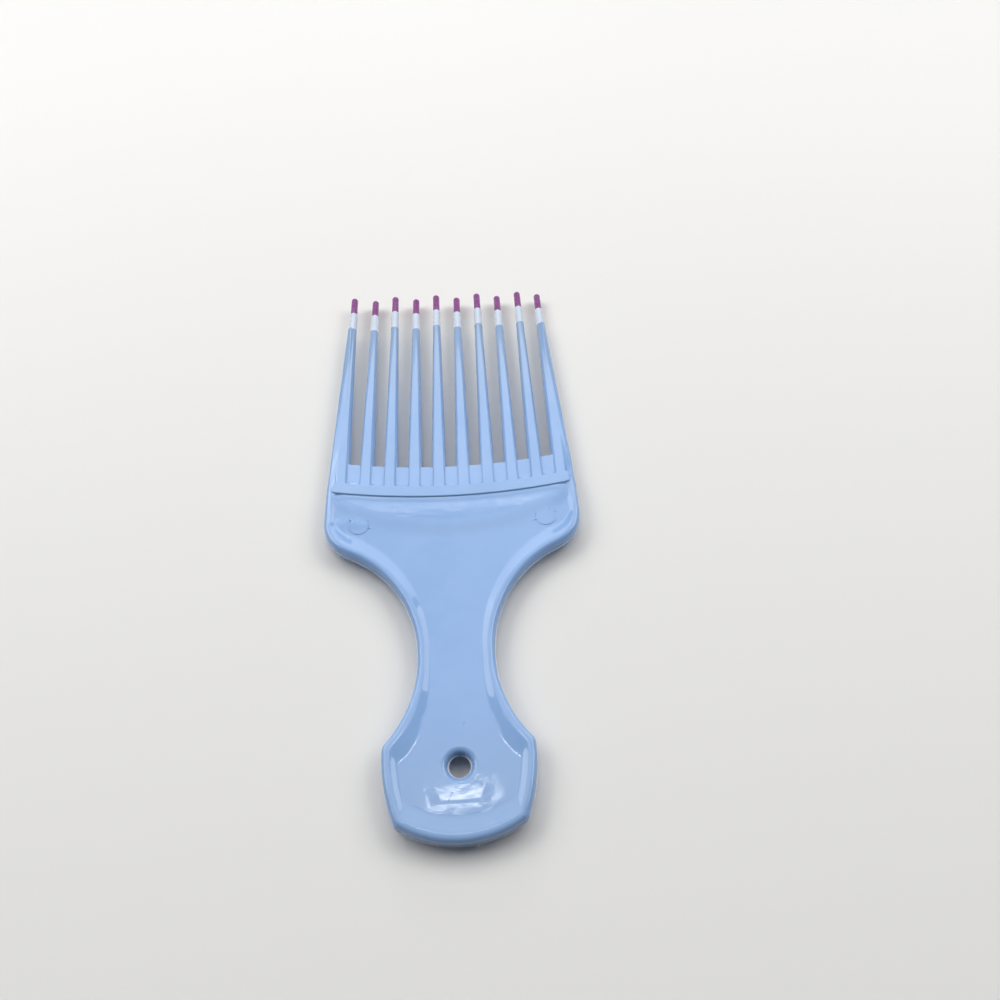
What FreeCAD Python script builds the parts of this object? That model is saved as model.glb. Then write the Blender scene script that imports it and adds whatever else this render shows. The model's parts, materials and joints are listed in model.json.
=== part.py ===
import FreeCAD, Part
import math
import os

# Hair pick, lying on its back: X across the teeth, Y from the handle's end to the tips, Z up.
# The origin is the middle of the box's underside. All lengths are in millimetres.

# Whole pick
length = 162.9
head_width = 65.0
body_thickness = 4.9
overrun = 2.0
pick_tolerance = 0.01

# Outline of the handle and head
waist_width = 17.6
waist_from_end = 39.0
waist_straight = 1.0
lower_flare_radius = 28.0
upper_flare_radius = 30.5
head_corner_radius = 11.0
pad_base_width = 26.8
pad_base_rise = 3.9
pad_base_crest_radius = 1.2
pad_shoulder_width = 32.6
pad_shoulder_crest_radius = 1.0
pad_side_radius = 37.0
edge_radius = 1.2
edge_steps = 3
edge_draft = 0.12

# Dished panel inside the raised border, alike on both faces
border_width = 1.6
dish_depth = 0.65
dish_base_inset = 5.4
dish_side_inset = 3.8
dish_shoulder_inset = 5.5
dish_crescent_inset = 5.8
dish_crescent_top_inset = 4.6
dish_crescent_height = 28.5
dish_neck_inset = 3.5
dish_waist_inset = 3.0
dish_flare_inset = 4.2
dish_head_inset = 5.6
dish_head_side_inset = 3.0
dish_far_run = 3.4
dish_wall_shares = ((0, 0), (0.2, 0.12), (0.72, 0.86), (1, 1))

# Soft bowed step up of the panel towards the rail
step_bow_radius = 54.0
step_from_end = 73.3
step_angle = 9.0
step_blend_radius = 18.0

# Pin marks of the mould, on the front face only
pin_mark_diameter = 5.0
pin_mark_inset = 9.0
pin_mark_from_end = 75.7
pin_mark_rise = 0.15

# Hanging hole
hole_diameter = 5.2
hole_from_end = 15.2
hole_rim_bevel = 0.8

# Rail across the tooth roots, with the webs between the teeth
rail_from_end = 83.0
rail_width = 3.2
rail_end_inset = 1.6
rail_bow_radius = 165.0
rail_rise = 0.45
rail_edge_bevel = 0.25
rail_end_radius = 0.9
rail_land = 0.5
rail_foot_length = 1.6
rail_foot_steps = 3
web_length = 7.7
web_thickness = 2.6
web_edge_bevel = 0.4

# Teeth
tooth_count = 10
tooth_side_inset = 3.55
tooth_root_width = 4.1
tooth_root_depth = 4.0
tooth_foot_length = 1.9
tooth_foot_depth = 5.2
tooth_end_width = 2.4
tooth_end_depth = 2.35
tooth_flank_angle = 17.5
tooth_edge_bevel = 0.3
tooth_set = 0.65
gusset_thickness = 3.2
gusset_bevel = 0.6
root_in_rail_share = 0.7

# White band and coloured cap on each tooth's pin
band_length = 7.2
band_diameter = 2.35
cap_length = 7.0
cap_diameter = 2.05
cap_end_bevel = 0.45
cap_end_thickness = 1.5
pin_width = 1.05
pin_clearance = 0.03

vector = FreeCAD.Vector
up = vector(0, 0, 1)
along = vector(0, 1, 0)
across = vector(1, 0, 0)
full_turn = 360

half_thickness = body_thickness / 2
half_rail = half_thickness + rail_rise
floor_height = half_thickness - dish_depth
tooth_root = rail_from_end + rail_width * root_in_rail_share
tooth_end = length - cap_length - band_length
outer_tooth = head_width / 2 - tooth_side_inset
tooth_pitch = 2 * outer_tooth / (tooth_count - 1)
rail_length = head_width - 2 * rail_end_inset
pin_mark_spacing = head_width - 2 * pin_mark_inset
crest_inset = edge_draft + edge_radius
pad_base_corner_radius = crest_inset + pad_base_crest_radius
pad_shoulder_radius = crest_inset + pad_shoulder_crest_radius
dish_insets = (dish_base_inset, dish_side_inset, dish_shoulder_inset, dish_crescent_inset,
               dish_crescent_top_inset, dish_neck_inset, dish_waist_inset, dish_flare_inset, dish_head_inset,
               dish_head_side_inset)
rail_axis = rail_from_end + rail_bow_radius

# Circles that the outline is drawn on, each with its centre and radius
waist_top = waist_from_end + waist_straight
base_radius = ((pad_base_width / 2) ** 2 + pad_base_rise ** 2) / (2 * pad_base_rise)
base_centre = (0, base_radius)
low_centre = (waist_width / 2 + lower_flare_radius, waist_from_end)
high_centre = (waist_width / 2 + upper_flare_radius, waist_top)
corner_x = head_width / 2 - head_corner_radius
corner_reach = upper_flare_radius + head_corner_radius
corner_y = waist_top + math.sqrt(corner_reach ** 2 - (high_centre[0] - corner_x) ** 2)
corner_centre = (corner_x, corner_y)
shoulder_drop = math.sqrt(lower_flare_radius ** 2 - (low_centre[0] - pad_shoulder_width / 2) ** 2)
shoulder = (pad_shoulder_width / 2, waist_from_end - shoulder_drop)
base_corner = (pad_base_width / 2, pad_base_rise)


def side_circle_centre():
    """Centre of the arc from the base corner to the shoulder, on the handle's side of it."""
    chord = (shoulder[0] - base_corner[0], shoulder[1] - base_corner[1])
    chord_length = math.hypot(*chord)
    reach = math.sqrt(pad_side_radius ** 2 - (chord_length / 2) ** 2)
    middle = ((shoulder[0] + base_corner[0]) / 2, (shoulder[1] + base_corner[1]) / 2)
    return (middle[0] - chord[1] / chord_length * reach, middle[1] + chord[0] / chord_length * reach)


side_centre = side_circle_centre()


def on_circle(centre, radius, towards):
    """Point at a radius from a centre, on the way to another point."""
    away = (towards[0] - centre[0], towards[1] - centre[1])
    stretch = radius / math.hypot(*away)
    return (centre[0] + away[0] * stretch, centre[1] + away[1] * stretch)


def at_height(centre, radius, y):
    """Point on the left side of a circle at a height along the pick."""
    return (centre[0] - math.sqrt(radius ** 2 - (y - centre[1]) ** 2), y)


def meeting(centre_a, radius_a, centre_b, radius_b):
    """The crossing of two circles that lies to the right of the line from the first to the second."""
    gap = (centre_b[0] - centre_a[0], centre_b[1] - centre_a[1])
    distance = math.hypot(*gap)
    reach = (radius_a ** 2 - radius_b ** 2 + distance ** 2) / (2 * distance)
    rise = math.sqrt(radius_a ** 2 - reach ** 2)
    unit = (gap[0] / distance, gap[1] / distance)
    return (centre_a[0] + unit[0] * reach + unit[1] * rise, centre_a[1] + unit[1] * reach - unit[0] * rise)


def between(first, second):
    return ((first[0] + second[0]) / 2, (first[1] + second[1]) / 2)


def half_path(insets, far):
    """Right half of a line inside the outline, from the base corner to the far end.

    Each inset is that of one stretch from the outline, and far is where the line ends along Y.
    Gives the start and a list of steps, each a middle point, or None on a straight step, and an end.
    """
    base, side, at_shoulder, crescent, crescent_top, neck, waist, flare, head, head_side = insets
    start = meeting(side_centre, pad_side_radius - side, base_centre, base_radius - base)
    top = meeting(side_centre, pad_side_radius - side, low_centre, lower_flare_radius + at_shoulder)
    crescent_end = at_height(low_centre, lower_flare_radius + crescent_top, dish_crescent_height)
    low_waist = (waist_width / 2 - waist, waist_from_end)
    high_waist = (waist_width / 2 - waist, waist_top)
    tangent = on_circle(corner_centre, head_corner_radius - head, high_centre)
    corner_end = (head_width / 2 - head_side, corner_y)
    outer_tangent = on_circle(corner_centre, head_corner_radius, high_centre)
    outer_middle = between(outer_tangent, (head_width / 2, corner_y))
    middle_radius = head_corner_radius - (head + head_side) / 2
    return start, [
        (on_circle(side_centre, pad_side_radius - side, between(start, top)), top),
        (on_circle(low_centre, lower_flare_radius + crescent, between(top, crescent_end)), crescent_end),
        (on_circle(low_centre, lower_flare_radius + neck, between(crescent_end, low_waist)), low_waist),
        (None, high_waist),
        (on_circle(high_centre, upper_flare_radius + flare, between(high_waist, tangent)), tangent),
        (on_circle(corner_centre, middle_radius, outer_middle), corner_end),
        (None, (corner_end[0], far)),
    ]


def edge(first, middle, second, z):
    """Straight edge, or an arc where there is a middle point, at one height."""
    if middle is None:
        return Part.makeLine(vector(*first, z), vector(*second, z))
    return Part.Arc(vector(*first, z), vector(*middle, z), vector(*second, z)).toShape()


def mirrored(point):
    return None if point is None else (-point[0], point[1])


def closed_wire(path, base_middle, far_middle, z):
    """Closed wire from a right half, its mirror image, and the edges across the base and the far end."""
    start, steps = path
    edges = [edge(mirrored(start), base_middle, start, z)]
    corner = start
    for middle, end in steps:
        edges.append(edge(corner, middle, end, z))
        corner = end
    edges.append(edge(corner, far_middle, mirrored(corner), z))
    corners = [start] + [end for middle, end in steps]
    for index in range(len(steps) - 1, -1, -1):
        middle = steps[index][0]
        edges.append(edge(mirrored(corners[index + 1]), mirrored(middle), mirrored(corners[index]), z))
    return Part.Wire(edges)


def bow(x):
    """How far the rail's arc has moved towards the tips at a distance from the middle."""
    return rail_bow_radius - math.sqrt(rail_bow_radius ** 2 - x ** 2)


def revolved(points, axis_y, degrees, turned):
    """Solid from a profile of (y, z) points or arcs, swept about an upright axis on the middle line."""
    face = Part.Face(Part.Wire(points))
    face.rotate(vector(0, axis_y, 0), up, turned)
    return face.revolve(vector(0, axis_y, 0), up, degrees)


def profile_line(first, second):
    return Part.makeLine(vector(0, *first), vector(0, *second))


def profile_arc(first, middle, second):
    return Part.Arc(vector(0, *first), vector(0, *middle), vector(0, *second)).toShape()


def outline_path(inset, far):
    """Right half of the outline at one inset, with the pad's base corner and shoulder rounded."""
    base_round = meeting(side_centre, pad_side_radius - pad_base_corner_radius,
                         base_centre, base_radius - pad_base_corner_radius)
    shoulder_round = meeting(side_centre, pad_side_radius - pad_shoulder_radius,
                             low_centre, lower_flare_radius + pad_shoulder_radius)
    start = on_circle(base_centre, base_radius - inset, base_round)
    side_start = on_circle(side_centre, pad_side_radius - inset, base_round)
    side_end = on_circle(side_centre, pad_side_radius - inset, shoulder_round)
    flare_start = on_circle(low_centre, lower_flare_radius + inset, shoulder_round)
    low_waist = (waist_width / 2 - inset, waist_from_end)
    steps = [
        (on_circle(base_round, pad_base_corner_radius - inset, between(start, side_start)), side_start),
        (on_circle(side_centre, pad_side_radius - inset, between(side_start, side_end)), side_end),
        (on_circle(shoulder_round, pad_shoulder_radius - inset, between(side_end, flare_start)), flare_start),
        (on_circle(low_centre, lower_flare_radius + inset, between(flare_start, low_waist)), low_waist),
    ]
    above_waist = half_path([inset] * len(dish_insets), far)[1][len(steps) - 1:]
    return start, steps + above_waist


def handle_slab():
    """Handle and head as one plate, drafted from its mid-plane and rounded over at its edges, up to the rail."""
    far = rail_from_end + rail_width / 2
    turns = [math.pi / 2 * step / edge_steps for step in range(edge_steps + 1)]
    upper = [(edge_draft + edge_radius * (1 - math.cos(turn)), half_thickness - edge_radius * (1 - math.sin(turn)))
             for turn in turns]
    sections = []
    for inset, height in [(inset, -height) for inset, height in upper[::-1]] + [(0, 0)] + upper:
        path = outline_path(inset, far + bow(head_width / 2 - inset))
        sections.append(closed_wire(path, (0, inset), (0, far), height))
    return Part.makeLoft(sections, True, True)


def dish_sections():
    """Closed lines round one dish, from the border's inner crest down its sloped wall to the floor."""
    rim_far = rail_from_end - rail_land
    sections = []
    for inward_share, down_share in dish_wall_shares:
        insets = [border_width + (inset - border_width) * inward_share for inset in dish_insets]
        far = rim_far - dish_far_run * inward_share
        path = half_path(insets, far + bow(head_width / 2 - insets[-1]))
        height = half_thickness - dish_depth * down_share
        sections.append(closed_wire(path, (0, insets[0]), (0, far), height))
    return sections


def dish_cutter():
    """The hollow of one face, with the panel's soft step left standing in it."""
    return Part.makeLoft(dish_sections(), True, True).cut(panel_step())


def panel_step():
    """Bowed ring whose top rises from the floor in a hollow and a round, then runs level to the rail."""
    slope = math.radians(step_angle)
    half_run = step_blend_radius * math.sin(slope)
    half_rise = step_blend_radius * (1 - math.cos(slope))
    part_run = step_blend_radius * math.sin(slope / 2)
    part_rise = step_blend_radius * (1 - math.cos(slope / 2))
    sink = floor_height - overrun
    top = floor_height + 2 * half_rise
    inner = rail_from_end + overrun
    start = (step_from_end - half_run, floor_height)
    turning = (step_from_end, floor_height + half_rise)
    end = (step_from_end + half_run, top)
    outline = [profile_arc(start, (start[0] + part_run, start[1] + part_rise), turning),
               profile_arc(turning, (end[0] - part_run, end[1] - part_rise), end),
               profile_line(end, (inner, top)), profile_line((inner, top), (inner, sink)),
               profile_line((inner, sink), (start[0], sink)), profile_line((start[0], sink), start)]
    return revolved(outline, step_from_end + step_bow_radius, full_turn, 0)


def pin_marks():
    """The two low round marks near the head's corners."""
    marks = []
    for side in (-1, 1):
        foot = vector(side * pin_mark_spacing / 2, pin_mark_from_end, floor_height - overrun)
        marks.append(Part.makeCylinder(pin_mark_diameter / 2, pin_mark_rise + overrun, foot, up))
    return marks


def dished_handle():
    """The plate with both faces dished and the hanging hole through its pad."""
    front = dish_cutter()
    back = front.mirror(vector(0, 0, 0), up)
    hole = Part.makeCylinder(hole_diameter / 2, body_thickness, vector(0, hole_from_end, -half_thickness), up)
    handle = handle_slab().cut([front.cut(pin_marks()), back, hole])
    return handle.makeChamfer(hole_rim_bevel, [e for e in handle.Edges if on_hole(e)])


def on_hole(edge_shape):
    """True for the hole's round edge on the front or the back floor."""
    box = edge_shape.BoundBox
    off_axis = math.hypot(box.Center.x, box.Center.y - hole_from_end)
    return off_axis < pick_tolerance and abs(box.XLength - hole_diameter) < pick_tolerance


def rail_and_webs():
    """Bowed rail standing proud of both faces, with a hollow foot down to the thin webs between the teeth."""
    near = rail_from_end
    far = near + rail_width
    web = web_thickness / 2
    web_far = far + web_length
    upper = [(near, half_rail - rail_edge_bevel), (near + rail_edge_bevel, half_rail)]
    for step in range(rail_foot_steps + 1):
        turn = math.pi / 2 * step / rail_foot_steps
        foot_y = far + rail_foot_length * (1 - math.cos(turn))
        upper.append((foot_y, half_rail - (half_rail - web) * math.sin(turn)))
    upper += [(web_far - web_edge_bevel, web), (web_far, web - web_edge_bevel)]
    outline = []
    for side in (1, -1):
        points = [(y, side * z) for y, z in upper]
        outline += [profile_line(first, second) for first, second in zip(points, points[1:])]
    for y, z in (upper[0], upper[-1]):
        outline.append(profile_line((y, z), (y, -z)))
    reach = math.degrees(math.asin(rail_length / 2 / rail_bow_radius))
    rail = revolved(Part.__sortEdges__(outline), rail_axis, 2 * reach, -reach)
    ends = [e for e in rail.Edges if on_rail_end(e)]
    return rail.makeFillet(rail_end_radius, ends)


def middle_of(edge_shape):
    return edge_shape.valueAt((edge_shape.FirstParameter + edge_shape.LastParameter) / 2)


def on_rail_end(edge_shape):
    """True for the upright edge at either end of the rail's near side."""
    middle = middle_of(edge_shape)
    near_side = math.hypot(middle.x, middle.y - rail_axis) > rail_bow_radius - pick_tolerance
    return near_side and abs(abs(middle.x) - rail_length / 2) < pick_tolerance


def tooth_section(y, x, half_width, half_depth):
    """Corners of a tooth's section: flat faces, bevelled edges, flanks that meet at mid-thickness."""
    steep = math.radians(tooth_flank_angle)
    face = half_width - half_depth * math.tan(steep)
    bevel_x = face + tooth_edge_bevel * math.sin(steep)
    bevel_z = half_depth - tooth_edge_bevel * math.cos(steep)
    quarter = [(face - tooth_edge_bevel, half_depth), (bevel_x, bevel_z)]
    right = quarter + [(half_width, 0)] + [(px, -pz) for px, pz in quarter[::-1]]
    left = [(-px, -pz) for px, pz in right]
    return [vector(x + px, y, pz) for px, pz in right + left]


def tapered(sections):
    """Solid with flat sides between sections of like corners."""
    faces = [Part.Face(Part.makePolygon(section + section[:1])) for section in (sections[0], sections[-1])]
    for first, second in zip(sections, sections[1:]):
        for index in range(len(first)):
            corners = [first[index - 1], first[index], second[index], second[index - 1], first[index - 1]]
            faces.append(Part.Face(Part.makePolygon(corners)))
    return Part.Solid(Part.makeShell(faces))


def gusset(side):
    """Flat wedge that fills an outer tooth out to the head's side at its root and runs out at its end."""
    x = outer_tooth * side
    corners = [(x, tooth_root), (head_width / 2 * side, tooth_root),
               (x + tooth_end_width / 2 * side, tooth_end), (x, tooth_end)]
    floor = -gusset_thickness / 2
    plan = Part.makePolygon([vector(*corner, floor) for corner in corners + corners[:1]])
    wedge = Part.Face(plan).extrude(up * gusset_thickness)
    outer = [e for e in wedge.Edges if on_gusset_side(e, side)]
    return wedge.makeChamfer(gusset_bevel, outer)


def on_gusset_side(edge_shape, side):
    """True for the two long edges along a wedge's outer side."""
    middle = middle_of(edge_shape)
    far_out = middle.x * side > outer_tooth + pick_tolerance
    whole_length = abs(edge_shape.BoundBox.YLength - (tooth_end - tooth_root)) < pick_tolerance
    return far_out and whole_length


def set_turn(index):
    """Angle by which a tooth leans up or down from the mid-plane, by turns."""
    lean = math.degrees(math.atan2(tooth_set, length - tooth_root))
    return lean if index % 2 == 0 else -lean


def leaning(shape, index):
    shape.rotate(vector(0, tooth_root, 0), across, set_turn(index))
    return shape


def tooth_place(index):
    return index * tooth_pitch - outer_tooth


def tooth(index):
    """Tapered tooth with a deeper foot and the pin for its band and cap; the outer ones widen to the head's side."""
    x = tooth_place(index)
    foot = tooth_section(tooth_root, x, tooth_root_width / 2, tooth_foot_depth / 2)
    root = tooth_section(tooth_root + tooth_foot_length, x, tooth_root_width / 2, tooth_root_depth / 2)
    end = tooth_section(tooth_end, x, tooth_end_width / 2, tooth_end_depth / 2)
    pin_length = length - cap_end_thickness - tooth_end
    blade = tapered([foot, root, end]).fuse(square_bar(x, pin_width, pin_length))
    if index in (0, tooth_count - 1):
        blade = blade.fuse(gusset(1 if index else -1))
    return leaning(blade, index)


def square_bar(x, width, bar_length):
    """Square bar that runs on from a tooth's end."""
    return Part.makeBox(width, bar_length, width, vector(x - width / 2, tooth_end, -width / 2))


def sleeve(index, outline, bore_length):
    """Piece turned about a tooth's pin from (distance from it, y) points, with the pin's bore cut out."""
    points = [vector(*point, 0) for point in outline + outline[:1]]
    body = Part.Face(Part.makePolygon(points)).revolve(vector(0, 0, 0), along, full_turn)
    body.translate(vector(tooth_place(index), 0, 0))
    bore = square_bar(tooth_place(index), pin_width + 2 * pin_clearance, bore_length)
    return leaning(body.cut(bore), index)


def tip_band(index):
    """White sleeve seated on the tooth's end."""
    radius = band_diameter / 2
    top = tooth_end + band_length
    outline = [(0, tooth_end), (radius, tooth_end), (radius, top), (0, top)]
    return sleeve(index, outline, band_length)


def tip_cap(index):
    """Coloured cap with a blunt end, seated on the band and closed over the pin."""
    radius = cap_diameter / 2
    seat = tooth_end + band_length
    outline = [(0, seat), (radius, seat), (radius, length - cap_end_bevel),
               (radius - cap_end_bevel, length), (0, length)]
    return sleeve(index, outline, length - cap_end_thickness + pin_clearance - tooth_end)


def moulded_body():
    """Handle, head, rail, webs and teeth in one piece."""
    teeth = [tooth(index) for index in range(tooth_count)]
    return dished_handle().fuse([rail_and_webs()] + teeth)


def save(shape, name):
    """Move a piece into the pick's own frame and write it."""
    shape.translate(vector(0, -length / 2, half_rail))
    shape.exportStep("parts/" + name + ".step")
    print(name, len(shape.Solids), round(shape.Volume, 3), shape.isValid())


os.makedirs("parts", exist_ok=True)
save(moulded_body(), "moulded_body")
for index in range(tooth_count):
    save(tip_band(index), "tip_band_%02d" % (index + 1))
    save(tip_cap(index), "tip_cap_%02d" % (index + 1))
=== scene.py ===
import json
import math
import bpy
from mathutils import Matrix, Vector, noise

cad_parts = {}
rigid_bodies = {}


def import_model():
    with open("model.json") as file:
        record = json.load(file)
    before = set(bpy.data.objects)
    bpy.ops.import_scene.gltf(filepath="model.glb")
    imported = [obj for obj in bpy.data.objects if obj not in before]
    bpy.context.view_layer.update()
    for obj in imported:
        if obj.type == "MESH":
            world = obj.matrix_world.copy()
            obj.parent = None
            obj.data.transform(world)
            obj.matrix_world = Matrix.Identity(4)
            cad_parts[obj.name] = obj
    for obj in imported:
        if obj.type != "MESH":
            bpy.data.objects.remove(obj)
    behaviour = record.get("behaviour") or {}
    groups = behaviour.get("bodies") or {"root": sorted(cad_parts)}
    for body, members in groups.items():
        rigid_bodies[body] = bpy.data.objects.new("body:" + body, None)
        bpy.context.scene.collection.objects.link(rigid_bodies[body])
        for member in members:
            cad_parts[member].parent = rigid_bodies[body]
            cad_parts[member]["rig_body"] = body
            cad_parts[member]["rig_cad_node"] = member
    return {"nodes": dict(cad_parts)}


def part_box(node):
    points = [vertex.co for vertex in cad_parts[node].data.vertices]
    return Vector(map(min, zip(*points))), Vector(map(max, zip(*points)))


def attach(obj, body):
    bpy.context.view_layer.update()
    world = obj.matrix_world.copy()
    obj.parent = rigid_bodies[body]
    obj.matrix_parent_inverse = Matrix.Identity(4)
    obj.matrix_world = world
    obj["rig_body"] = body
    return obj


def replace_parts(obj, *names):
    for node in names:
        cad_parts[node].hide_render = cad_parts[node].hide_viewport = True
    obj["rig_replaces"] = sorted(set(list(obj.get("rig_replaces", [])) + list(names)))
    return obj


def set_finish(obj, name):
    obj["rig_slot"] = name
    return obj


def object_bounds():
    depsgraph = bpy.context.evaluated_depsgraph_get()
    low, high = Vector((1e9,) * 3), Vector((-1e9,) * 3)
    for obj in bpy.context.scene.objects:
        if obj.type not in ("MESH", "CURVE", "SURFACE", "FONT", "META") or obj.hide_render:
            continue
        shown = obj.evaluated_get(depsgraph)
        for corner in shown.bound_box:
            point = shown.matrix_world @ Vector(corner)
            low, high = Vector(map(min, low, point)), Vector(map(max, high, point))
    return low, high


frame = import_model()
cad_low, cad_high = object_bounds()

# Lengths are in metres, and mm turns a maker's millimetres into them.
mm = 0.001
tooth_count = 10
handle_end = cad_low.y
mid_height = (cad_low.z + cad_high.z) / 2

# Moulding
merge_distance = 0.03 * mm
smooth_angle = math.radians(50)
flat_face = math.cos(math.radians(0.2))
flat_weight = 100
hole_centre = Vector((0, handle_end + 15.2 * mm, mid_height))
hole_radius = 2.6 * mm
hole_rim_width = 0.8 * mm
hole_rim_spread = 1.65
rail_from_end = 83 * mm

# Flash left along the mould's parting line
flash_radius = 0.15 * mm
flash_waver = 0.75
flash_waver_size = 1.6 * mm
hole_flash_reach = 0.32 * mm
hole_flash_thickness = 0.09 * mm
hole_flash_waver = 0.05 * mm
hole_flash_waver_size = 0.9 * mm
hole_flash_steps = 72

# Torn gate on the handle's end: name, place across the handle, width and reach of each sliver
gate_slivers = (
    ("gate_stub", 0.4 * mm, 4.2 * mm, 0.22 * mm),
    ("gate_nub", 3.1 * mm, 0.8 * mm, 0.55 * mm),
)
gate_thickness = 0.14 * mm
gate_cuts = 7
torn_mean = 0.75
torn_waver = 0.5
torn_size = 0.5 * mm
end_bow_rise = 0.5 * mm
end_bow_half_width = 16 * mm

# Tips
tip_sides = 40
tip_round_steps = 5
band_radius = 1.18 * mm
band_shoulder_round = 0.3 * mm
cap_radius = 1.03 * mm
cap_end_round = 0.62 * mm

# Colours: the two shades that each material drifts between, then the blue's painted shade near the
# handle's end, its painted reflection towards the tooth ends, and its nicks
blue_shades = ((0.245, 0.41, 0.72), (0.27, 0.44, 0.75))
flash_shades = ((0.62, 0.67, 0.76), (0.8, 0.82, 0.86))
band_shades = ((0.64, 0.71, 0.81), (0.52, 0.61, 0.74))
cap_shades = ((0.25, 0.08, 0.25), (0.33, 0.125, 0.32))
floor_shades = ((0.76, 0.75, 0.73), (0.78, 0.77, 0.75))
# Painted shade: the blue turns greyer and duller near the handle's end
painted_shade_blue = (0.25, 0.385, 0.62)
# Painted reflection: a pale grey sheen on the blue towards the tooth ends
painted_sheen_blue = (0.31, 0.42, 0.6)
nick_shade = (0.12, 0.17, 0.3)
nick_share = 0.5

# Painted shade and painted reflection on the blue: two distances from the handle's end, and the share of
# painted colour at each
painted_shade_span = (4 * mm, 32 * mm, 0.6, 0.0)
painted_sheen_span = (105 * mm, 150 * mm, 0.0, 0.7)

# Lowest and highest roughness of each material
blue_roughness = (0.05, 0.1)
flash_roughness = (0.28, 0.45)
band_roughness = (0.25, 0.4)
cap_roughness = (0.08, 0.18)
floor_roughness = 0.7

# Relief of each material: its depth, and the share of fine peel in it
blue_relief = 0.0125 * mm
flash_relief = 0.01 * mm
band_relief = 0.015 * mm
cap_relief = 0.0125 * mm
blue_peel = 0.2
flash_peel = 0.6
band_peel = 0.5
cap_peel = 0.5

# Grain of the skin, and the noise values between which its tone and haze rise
peel_size = 0.5 * mm
ripple_size = 2.6 * mm
cloud_size = 14 * mm
haze_size = 1.1 * mm
floor_cloud_size = 0.4
tone_limits = (0.3, 0.7)
haze_limits = (0.4, 0.75)
crinkle_size = 0.42 * mm
crinkle_level = 0.5
crinkle_depth = 3.0
mark_soft_from = 0.5

# Marks in mm: x, y from the handle's end, angle in degrees, half a length and half a width.
# The patches and creases are those of the right half, and the other half mirrors them.
blue_nicks = (
    (-2.1, 8.8, 62.0, 1.3, 0.11),
    (1.2, 23.8, 75.0, 0.5, 0.11),
)
crinkled_patches = (
    (20.1, 70.0, 42.0, 5.6, 0.9),
    (13.9, 63.4, 50.0, 6.2, 0.85),
    (10.9, 59.2, 60.0, 3.2, 0.75),
    (28.6, 82.4, 65.0, 5.0, 1.8),
    (8.0, 81.8, 2.0, 14.0, 0.5),
    (20.0, 82.8, 7.0, 9.0, 0.6),
    (15.0, 88.0, 5.0, 22.0, 0.7),
    (0.0, 7.9, 0.0, 6.6, 0.45),
    (5.6, 9.4, 66.0, 2.4, 1.3),
    (3.6, 11.6, -25.0, 1.8, 0.5),
)
raised_creases = (
    (25.0, 77.5, -40.0, 1.15, 0.2),
    (23.5, 78.15, 0.0, 1.2, 0.2),
    (21.9, 77.8, 22.0, 1.2, 0.18),
    (29.6, 82.6, -78.0, 3.2, 0.24),
    (7.9, 52.3, 64.0, 3.4, 0.2),
    (2.2, 5.65, 7.0, 4.6, 0.26),
    (7.4, 6.95, 23.0, 3.5, 0.26),
)

# Studio. Each lamp has a name, the spot that it aims at, its azimuth and elevation from there in degrees,
# and its distance, width, height and brightness.
floor_width = 6
pad_spot = Vector((0, handle_end + 10 * mm, 5 * mm))
head_spot = Vector((0, handle_end + 70 * mm, 5 * mm))
lamps = (
    ("left_soft", head_spot, -62, 42, 0.9, 0.7, 0.5, 3.9),
    ("right_soft", head_spot, 62, 42, 0.9, 0.7, 0.5, 3.7),
    ("overhead_soft", head_spot, -5, 68, 0.9, 0.5, 0.4, 1.7),
    ("far_soft", head_spot, -4, 45, 0.9, 0.8, 0.27, 2.8),
    ("overhead_strip", pad_spot, -8, 75.5, 3, 0.27, 0.06, 14),
    ("far_strip", head_spot, -3, 54.6, 3, 1.3, 0.012, 16),
    ("low_strip", head_spot, -3, 21, 3, 0.52, 0.37, 12),
)
backdrop_colour = (0.86, 0.92, 1.0, 1)
backdrop_strength = 0.12

# Camera, placed by the photograph's perspective
lens_mm = 27.5
sensor_mm = 36
camera_near = 10 * mm
camera_place = Vector((6.175 * mm, handle_end - 32.048 * mm, mid_height + 161.576 * mm))
camera_turn = math.radians(3.1069)
camera_tilt = math.radians(54.5694)
camera_roll = math.radians(-0.3953)

# Sockets of a Mix node that carry colour
mix_first = 6
mix_second = 7
mix_result = 2


def deselect_all():
    """Leave edit mode and drop the selection."""
    if bpy.context.object and bpy.context.object.mode != "OBJECT":
        bpy.ops.object.mode_set(mode="OBJECT")
    bpy.ops.object.select_all(action="DESELECT")


def take(piece):
    """Make one piece the only selected and active one."""
    deselect_all()
    piece.select_set(True)
    bpy.context.view_layer.objects.active = piece


def edit(piece, kind="VERT"):
    """Go into edit mode on one piece with nothing selected."""
    take(piece)
    bpy.ops.object.mode_set(mode="EDIT")
    bpy.ops.mesh.select_mode(type=kind)
    bpy.ops.mesh.select_all(action="DESELECT")


def leave_edit():
    bpy.ops.object.mode_set(mode="OBJECT")


def pick_edges(piece, wanted):
    """Go into edit mode with the edges selected whose two ends pass a test."""
    edit(piece, "EDGE")
    leave_edit()
    corners = piece.data.vertices
    for edge in piece.data.edges:
        first, second = (corners[index].co for index in edge.vertices)
        edge.select = wanted(first, second)
    bpy.ops.object.mode_set(mode="EDIT")


def seat(piece):
    """Put a piece's place, turn and scale into its mesh."""
    take(piece)
    bpy.ops.object.transform_apply(location=True, rotation=True, scale=True)
    return piece


def finish_piece(piece, name, material, slot, replaced=()):
    """Name and colour a piece, and tell the frame what it rides on, its slot and what it stands for."""
    piece.name = name
    piece.data.name = name
    piece.data.materials.clear()
    piece.data.materials.append(material)
    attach(piece, "root")
    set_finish(piece, slot)
    if replaced:
        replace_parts(piece, *replaced)
    return piece


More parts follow.
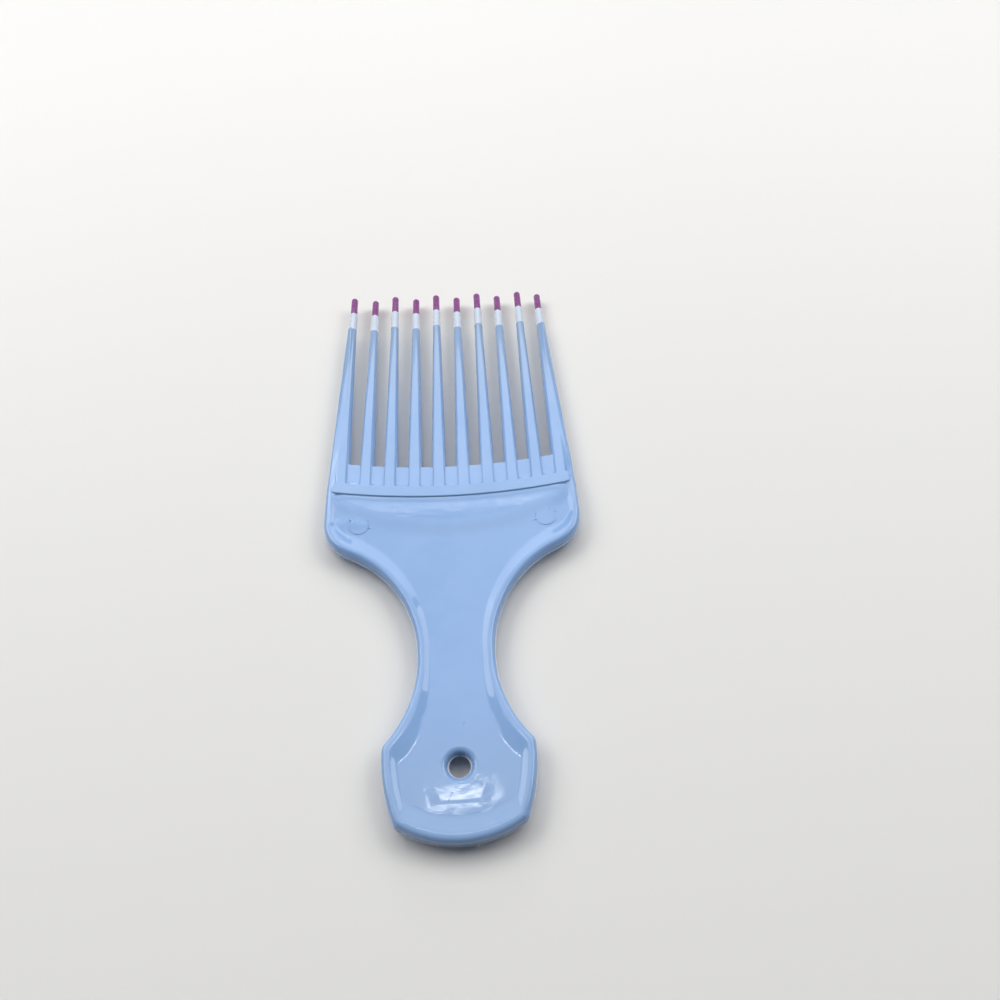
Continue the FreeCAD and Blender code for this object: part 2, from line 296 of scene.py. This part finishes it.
def pointing(azimuth, elevation):
    """Unit vector at an azimuth from +Y and an elevation, both in radians."""
    level = math.cos(elevation)
    return Vector((math.sin(azimuth) * level, math.cos(azimuth) * level, math.sin(elevation)))


# Nodes

def group_socket(group, name, kind, direction, value=None):
    """Give a node group one more input or output."""
    socket = group.interface.new_socket(name=name, in_out=direction, socket_type=kind)
    if value is not None:
        socket.default_value = value


def add(tree, kind, **settings):
    """New node with its settings."""
    node = tree.nodes.new(kind)
    for key, value in settings.items():
        setattr(node, key, value)
    return node


def put(tree, socket, value):
    """Feed a socket from another socket or from a plain value."""
    if isinstance(value, bpy.types.NodeSocket):
        tree.links.new(value, socket)
    elif value is not None:
        socket.default_value = value


def calc(tree, operation, first, second=None):
    """Math node from values or sockets."""
    node = add(tree, "ShaderNodeMath", operation=operation)
    for socket, value in zip(node.inputs, (first, second)):
        put(tree, socket, value)
    return node.outputs[0]


def ease(tree, value, low, high, to_low=0.0, to_high=1.0):
    """Smooth step of a value from one range to another."""
    node = add(tree, "ShaderNodeMapRange", interpolation_type="SMOOTHSTEP")
    for socket, item in zip(node.inputs, (value, low, high, to_low, to_high)):
        put(tree, socket, item)
    return node.outputs[0]


def speckle(tree, vector, size, detail=2.0, roughness=0.5):
    """Noise whose grains are about one size across."""
    node = add(tree, "ShaderNodeTexNoise")
    put(tree, node.inputs["Vector"], vector)
    node.inputs["Scale"].default_value = 1 / size
    node.inputs["Detail"].default_value = detail
    node.inputs["Roughness"].default_value = roughness
    return node.outputs["Fac"]


def mix_colour(tree, share, first, second):
    """Colour between two, each a plain colour or a socket."""
    node = add(tree, "ShaderNodeMix", data_type="RGBA")
    put(tree, node.inputs["Factor"], share)
    for socket, colour in zip((node.inputs[mix_first], node.inputs[mix_second]), (first, second)):
        put(tree, socket, (*colour, 1.0) if isinstance(colour, tuple) else colour)
    return node.outputs[mix_result]


def use_group(tree, group, vector, **values):
    """Node of a shared group, its inputs set by name."""
    node = add(tree, "ShaderNodeGroup", node_tree=group)
    tree.links.new(vector, node.inputs["Vector"])
    for key, value in values.items():
        node.inputs[key.replace("_", " ").capitalize()].default_value = value
    return node


# Shared finishes

def moulded_skin_group():
    """Surface of a moulding: a fine orange peel, slow ripples and cloudy tone."""
    group = bpy.data.node_groups.new("moulded_skin", "ShaderNodeTree")
    group_socket(group, "Vector", "NodeSocketVector", "INPUT")
    group_socket(group, "Peel share", "NodeSocketFloat", "INPUT", 0.4)
    group_socket(group, "Height", "NodeSocketFloat", "OUTPUT")
    group_socket(group, "Tone", "NodeSocketFloat", "OUTPUT")
    group_socket(group, "Haze", "NodeSocketFloat", "OUTPUT")
    into = add(group, "NodeGroupInput")
    out = add(group, "NodeGroupOutput")
    place = into.outputs["Vector"]
    peel = speckle(group, place, peel_size, detail=1.0, roughness=0.5)
    ripple = speckle(group, place, ripple_size, detail=1.0, roughness=0.4)
    peel_height = calc(group, "MULTIPLY", peel, into.outputs["Peel share"])
    group.links.new(calc(group, "ADD", peel_height, ripple), out.inputs["Height"])
    cloud = speckle(group, place, cloud_size, detail=3.0, roughness=0.55)
    group.links.new(ease(group, cloud, *tone_limits), out.inputs["Tone"])
    haze = speckle(group, place, haze_size, detail=3.0, roughness=0.6)
    group.links.new(ease(group, haze, *haze_limits), out.inputs["Haze"])
    return group


def short_mark_group():
    """A soft-edged straight mark at one place on the surface."""
    group = bpy.data.node_groups.new("short_mark", "ShaderNodeTree")
    group_socket(group, "Vector", "NodeSocketVector", "INPUT")
    group_socket(group, "Place", "NodeSocketVector", "INPUT")
    group_socket(group, "Angle", "NodeSocketFloat", "INPUT", 0.0)
    group_socket(group, "Half length", "NodeSocketFloat", "INPUT", 1 * mm)
    group_socket(group, "Half width", "NodeSocketFloat", "INPUT", 0.1 * mm)
    group_socket(group, "Mask", "NodeSocketFloat", "OUTPUT")
    into = add(group, "NodeGroupInput")
    out = add(group, "NodeGroupOutput")
    offset = add(group, "ShaderNodeVectorMath", operation="SUBTRACT")
    group.links.new(into.outputs["Vector"], offset.inputs[0])
    group.links.new(into.outputs["Place"], offset.inputs[1])
    turned = add(group, "ShaderNodeVectorRotate", rotation_type="Z_AXIS")
    group.links.new(offset.outputs[0], turned.inputs["Vector"])
    group.links.new(calc(group, "MULTIPLY", into.outputs["Angle"], -1.0), turned.inputs["Angle"])
    parts = add(group, "ShaderNodeSeparateXYZ")
    group.links.new(turned.outputs[0], parts.inputs[0])
    mask = None
    for axis, limit in (("X", "Half length"), ("Y", "Half width")):
        reach = calc(group, "DIVIDE", calc(group, "ABSOLUTE", parts.outputs[axis]), into.outputs[limit])
        inside = ease(group, reach, mark_soft_from, 1.0, 1.0, 0.0)
        mask = inside if mask is None else calc(group, "MULTIPLY", mask, inside)
    group.links.new(mask, out.inputs["Mask"])
    return group


moulded_skin = moulded_skin_group()
short_mark = short_mark_group()


# Materials

def fresh_material(name):
    """New material with its shader, and the place on the piece in metres."""
    material = bpy.data.materials.new(name)
    material.use_nodes = True
    tree = material.node_tree
    shader = tree.nodes["Principled BSDF"]
    place = add(tree, "ShaderNodeTexCoord").outputs["Object"]
    return material, tree, shader, place


def hazy_gloss(tree, shader, haze, limits):
    """Let the haze move the roughness between two limits."""
    tree.links.new(ease(tree, haze, 0.0, 1.0, *limits), shader.inputs["Roughness"])


def surface_bump(tree, shader, height, depth):
    """Fine relief that the mesh is too coarse for."""
    bump = add(tree, "ShaderNodeBump")
    bump.inputs["Distance"].default_value = depth
    tree.links.new(height, bump.inputs["Height"])
    tree.links.new(bump.outputs["Normal"], shader.inputs["Normal"])


def along_pick(tree, place):
    """The place's distance along the pick."""
    parts = add(tree, "ShaderNodeSeparateXYZ")
    tree.links.new(place, parts.inputs[0])
    return parts.outputs["Y"]


def on_right_half(tree, place):
    """The place folded over the pick's middle line, so that one mark shows on both sides."""
    parts = add(tree, "ShaderNodeSeparateXYZ")
    tree.links.new(place, parts.inputs[0])
    folded = add(tree, "ShaderNodeCombineXYZ")
    tree.links.new(calc(tree, "ABSOLUTE", parts.outputs["X"]), folded.inputs["X"])
    tree.links.new(parts.outputs["Y"], folded.inputs["Y"])
    return folded.outputs[0]


def marked_places(tree, place, marks):
    """Mask of a table of marks, on both faces alike."""
    mask = None
    for x, y, angle, half_length, half_width in marks:
        spot = Vector((x * mm, handle_end + y * mm, 0))
        mark = use_group(tree, short_mark, place, place=spot, angle=math.radians(angle),
                         half_length=half_length * mm, half_width=half_width * mm)
        shown = mark.outputs["Mask"]
        mask = shown if mask is None else calc(tree, "MAXIMUM", mask, shown)
    return mask


def blue_plastic():
    """Powder blue moulded plastic: cloudy tone, painted shade near the handle's end, a painted reflection
    towards the tooth ends, nicks, crinkled patches and raised creases.
    """
    material, tree, shader, place = fresh_material("blue_plastic")
    skin = use_group(tree, moulded_skin, place, peel_share=blue_peel)
    colour = mix_colour(tree, skin.outputs["Tone"], *blue_shades)
    from_end = calc(tree, "SUBTRACT", along_pick(tree, place), handle_end)
    # Painted shade: greyer, duller blue near the handle's end
    colour = mix_colour(tree, ease(tree, from_end, *painted_shade_span), colour, painted_shade_blue)
    # Painted reflection: pale grey sheen towards the tooth ends
    colour = mix_colour(tree, ease(tree, from_end, *painted_sheen_span), colour, painted_sheen_blue)
    nicks = marked_places(tree, place, blue_nicks)
    colour = mix_colour(tree, calc(tree, "MULTIPLY", nicks, nick_share), colour, nick_shade)
    tree.links.new(colour, shader.inputs["Base Color"])
    hazy_gloss(tree, shader, skin.outputs["Haze"], blue_roughness)
    folded = on_right_half(tree, place)
    crinkled = marked_places(tree, folded, crinkled_patches)
    creases = marked_places(tree, folded, raised_creases)
    grain = speckle(tree, place, crinkle_size, detail=2.0, roughness=0.6)
    level_grain = calc(tree, "SUBTRACT", grain, crinkle_level)
    crinkle = calc(tree, "MULTIPLY", calc(tree, "MULTIPLY", level_grain, crinkled), crinkle_depth)
    height = calc(tree, "ADD", skin.outputs["Height"], calc(tree, "ADD", crinkle, creases))
    surface_bump(tree, shader, calc(tree, "SUBTRACT", height, nicks), blue_relief)
    return material


def plain_plastic(name, shades, peel, roughness, relief):
    """Plastic blotched between two shades, the rougher the hazier."""
    material, tree, shader, place = fresh_material(name)
    skin = use_group(tree, moulded_skin, place, peel_share=peel)
    haze = skin.outputs["Haze"]
    tree.links.new(mix_colour(tree, haze, *shades), shader.inputs["Base Color"])
    hazy_gloss(tree, shader, haze, roughness)
    surface_bump(tree, shader, skin.outputs["Height"], relief)
    return material


# Pieces

def soften_hole_rim(piece):
    """Spread the rounded rim of the hang hole over the flat round it."""
    for corner in piece.data.vertices:
        across = (corner.co - hole_centre).to_2d()
        past = across.length - hole_radius
        if merge_distance < past < hole_rim_width + merge_distance:
            grown = across.normalized() * (hole_radius + past * hole_rim_spread)
            corner.co.x = hole_centre.x + grown.x
            corner.co.y = hole_centre.y + grown.y


def moulding(material):
    """The moulded handle, head and teeth, with its facets merged and its soft edges smoothed."""
    take(frame["nodes"]["moulded_body"])
    bpy.ops.object.duplicate()
    piece = bpy.context.object
    piece.parent = None
    del piece["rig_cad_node"]
    edit(piece)
    bpy.ops.mesh.select_all(action="SELECT")
    bpy.ops.mesh.remove_doubles(threshold=merge_distance)
    leave_edit()
    soften_hole_rim(piece)
    bpy.ops.object.shade_smooth_by_angle(angle=smooth_angle)
    weigh = piece.modifiers.new("even_flats", "WEIGHTED_NORMAL")
    weigh.keep_sharp = True
    weigh.weight = flat_weight
    bpy.ops.object.modifier_apply(modifier=weigh.name)
    edit(piece, "FACE")
    leave_edit()
    for face in piece.data.polygons:
        face.select = abs(face.normal.z) > flat_face
    bpy.ops.object.mode_set(mode="EDIT")
    bpy.ops.mesh.set_normals_from_faces(keep_sharp=True)
    leave_edit()
    return finish_piece(piece, "pick_moulding", material, "body_blue", ["moulded_body"])


def outline_flash(body, material):
    """Thin bead of flash along the parting line of the handle and head."""
    take(body)
    bpy.ops.object.duplicate()
    piece = bpy.context.object
    piece.parent = None
    edit(piece)
    bpy.ops.mesh.select_all(action="SELECT")
    parting = (0, 0, mid_height + merge_distance)
    bpy.ops.mesh.bisect(plane_co=parting, plane_no=(0, 0, 1), clear_inner=True, clear_outer=True)
    bpy.ops.mesh.select_all(action="DESELECT")
    leave_edit()
    for corner in piece.data.vertices:
        in_hole = (corner.co - hole_centre).length < 2 * hole_radius
        corner.select = in_hole or corner.co.y > handle_end + rail_from_end
    bpy.ops.object.mode_set(mode="EDIT")
    bpy.ops.mesh.delete(type="VERT")
    leave_edit()
    bpy.ops.object.convert(target="CURVE")
    line = bpy.context.object
    line.data.bevel_depth = flash_radius
    line.data.bevel_resolution = 1
    for spline in line.data.splines:
        for point in spline.points:
            waver = noise.noise(Vector(point.co[:3]) / flash_waver_size)
            point.radius = 1 + flash_waver * waver
    bpy.ops.object.convert(target="MESH")
    piece = bpy.context.object
    bpy.ops.object.shade_smooth()
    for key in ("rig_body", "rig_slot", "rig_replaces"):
        if key in piece:
            del piece[key]
    finish_piece(piece, "outline_flash", material, "body_blue")


def hole_flash(material):
    """Ragged fin of flash round the inside of the hang hole."""
    deselect_all()
    bpy.ops.mesh.primitive_circle_add(vertices=hole_flash_steps, radius=hole_radius, location=hole_centre)
    piece = seat(bpy.context.object)
    edit(piece, "EDGE")
    bpy.ops.mesh.select_all(action="SELECT")
    bpy.ops.mesh.extrude_edges_move()
    inward = 1 - hole_flash_reach / hole_radius
    bpy.ops.transform.resize(value=(inward, inward, 1), center_override=hole_centre)
    leave_edit()
    for corner in piece.data.vertices:
        away = corner.co - hole_centre
        if away.length < hole_radius - hole_flash_reach / 2:
            ragged = noise.noise(away / hole_flash_waver_size) * hole_flash_waver
            corner.co += away.normalized() * ragged
    wall = piece.modifiers.new("wall", "SOLIDIFY")
    wall.thickness = hole_flash_thickness
    wall.offset = 0
    take(piece)
    bpy.ops.object.modifier_apply(modifier=wall.name)
    finish_piece(piece, "hole_flash", material, "body_blue")


def torn_gate(material):
    """Torn sliver left at the gate on the handle's end, with one nub beside it."""
    for name, x, width, reach in gate_slivers:
        deselect_all()
        bpy.ops.mesh.primitive_cube_add(size=1, location=(x, handle_end, mid_height))
        piece = bpy.context.object
        piece.scale = (width, 2 * reach, gate_thickness)
        seat(piece)
        edit(piece)
        bpy.ops.mesh.select_all(action="SELECT")
        bpy.ops.mesh.subdivide(number_cuts=gate_cuts)
        leave_edit()
        for corner in piece.data.vertices:
            share = (corner.co.x - x) / (width / 2)
            taper = max(0.0, 1 - share * share)
            torn = torn_mean + torn_waver * noise.noise(Vector((corner.co.x / torn_size, 0, 0)))
            out = handle_end - corner.co.y
            corner.co.y = handle_end - out * taper * torn
            corner.co.y += end_bow_rise * (x / end_bow_half_width) ** 2
        take(piece)
        bpy.ops.object.shade_smooth()
        finish_piece(piece, name, material, "body_blue")


def tip_axis(index):
    """Where a tooth's band starts, which way its tip points, and the lengths of band and cap."""
    band_low, band_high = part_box("tip_band_%02d" % index)
    cap_low, cap_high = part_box("tip_cap_%02d" % index)
    band_middle = (band_low + band_high) / 2
    way = ((cap_low + cap_high) / 2 - band_middle).normalized()
    band_length = band_high.y - band_low.y
    start = band_middle - way * band_length / 2
    return start, way, band_length, cap_high.y - cap_low.y


def tip_blank(length, radius, end_round):
    """Round sleeve along Y from zero, its far end rounded over."""
    deselect_all()
    bpy.ops.mesh.primitive_cylinder_add(vertices=tip_sides, radius=radius, depth=length,
                                        location=(0, length / 2, 0), rotation=(-math.pi / 2, 0, 0))
    piece = seat(bpy.context.object)
    pick_edges(piece, lambda first, second: min(first.y, second.y) > length - radius / 10)
    bpy.ops.mesh.bevel(offset=end_round, segments=tip_round_steps, profile=0.5, affect="EDGES")
    leave_edit()
    take(piece)
    bpy.ops.object.shade_smooth_by_angle(angle=smooth_angle)
    return piece


def place_copy(blank, start, way):
    """Copy a blank with its own mesh, and lay it from a start along a tooth."""
    piece = blank.copy()
    piece.data = blank.data.copy()
    bpy.context.collection.objects.link(piece)
    turn = Vector((0, 1, 0)).rotation_difference(way).to_matrix().to_4x4()
    piece.data.transform(Matrix.Translation(start) @ turn)
    return piece


def tips(white, violet):
    """A white band and a violet cap on the end of each tooth."""
    _, _, band_length, cap_length = tip_axis(1)
    band_blank = tip_blank(band_length, band_radius, band_shoulder_round)
    cap_blank = tip_blank(cap_length, cap_radius, cap_end_round)
    for index in range(1, tooth_count + 1):
        start, way, band_length, _ = tip_axis(index)
        number = "_%02d" % index
        band = place_copy(band_blank, start, way)
        finish_piece(band, "white_band" + number, white, "band_white", ["tip_band" + number])
        cap = place_copy(cap_blank, start + way * band_length, way)
        finish_piece(cap, "violet_cap" + number, violet, "cap_violet", ["tip_cap" + number])
    for blank in (band_blank, cap_blank):
        bpy.data.objects.remove(blank)


# Studio

def pale_floor():
    """Plain pale floor under the pick."""
    deselect_all()
    bpy.ops.mesh.primitive_plane_add(size=floor_width, location=(0, 0, 0))
    floor = bpy.context.object
    floor.name = "studio_floor"
    material, tree, shader, place = fresh_material("pale_floor")
    tone = speckle(tree, place, floor_cloud_size)
    tree.links.new(mix_colour(tree, tone, *floor_shades), shader.inputs["Base Color"])
    shader.inputs["Roughness"].default_value = floor_roughness
    floor.data.materials.append(material)


def lamp(name, aim, azimuth, elevation, distance, width, height, brightness):
    """Area lamp that faces a spot of the pick, equally bright at any distance or size."""
    light = bpy.data.lights.new(name, "AREA")
    light.shape = "RECTANGLE"
    light.size = width
    light.size_y = height
    light.energy = math.pi * width * height * brightness
    way = pointing(math.radians(azimuth), math.radians(elevation))
    holder = bpy.data.objects.new(name, light)
    bpy.context.collection.objects.link(holder)
    holder.location = aim + way * distance
    holder.rotation_euler = way.to_track_quat("Z", "Y").to_euler()


def studio_lights():
    """The lamps, and a dim even backdrop."""
    for row in lamps:
        lamp(*row)
    world = bpy.data.worlds.new("studio")
    bpy.context.scene.world = world
    world.use_nodes = True
    backdrop = world.node_tree.nodes["Background"]
    backdrop.inputs["Color"].default_value = backdrop_colour
    backdrop.inputs["Strength"].default_value = backdrop_strength


def photo_camera():
    """Camera where the photograph was taken from."""
    data = bpy.data.cameras.new("photo_camera")
    data.lens = lens_mm
    data.sensor_width = sensor_mm
    data.clip_start = camera_near
    camera = bpy.data.objects.new("photo_camera", data)
    bpy.context.collection.objects.link(camera)
    forward = pointing(camera_turn, -camera_tilt)
    level = Vector((math.cos(camera_turn), -math.sin(camera_turn), 0))
    rise = level.cross(forward)
    right = level * math.cos(camera_roll) + rise * math.sin(camera_roll)
    up = rise * math.cos(camera_roll) - level * math.sin(camera_roll)
    turn = Matrix((right, up, -forward)).transposed().to_4x4()
    camera.matrix_world = Matrix.Translation(camera_place) @ turn
    bpy.context.scene.camera = camera


blue = blue_plastic()
flash = plain_plastic("thin_flash", flash_shades, flash_peel, flash_roughness, flash_relief)
body = moulding(blue)
outline_flash(body, flash)
hole_flash(flash)
torn_gate(flash)
white = plain_plastic("white_coat", band_shades, band_peel, band_roughness, band_relief)
violet = plain_plastic("violet_coat", cap_shades, cap_peel, cap_roughness, cap_relief)
tips(white, violet)
pale_floor()
studio_lights()
photo_camera()
bpy.context.scene.view_settings.view_transform = "Standard"
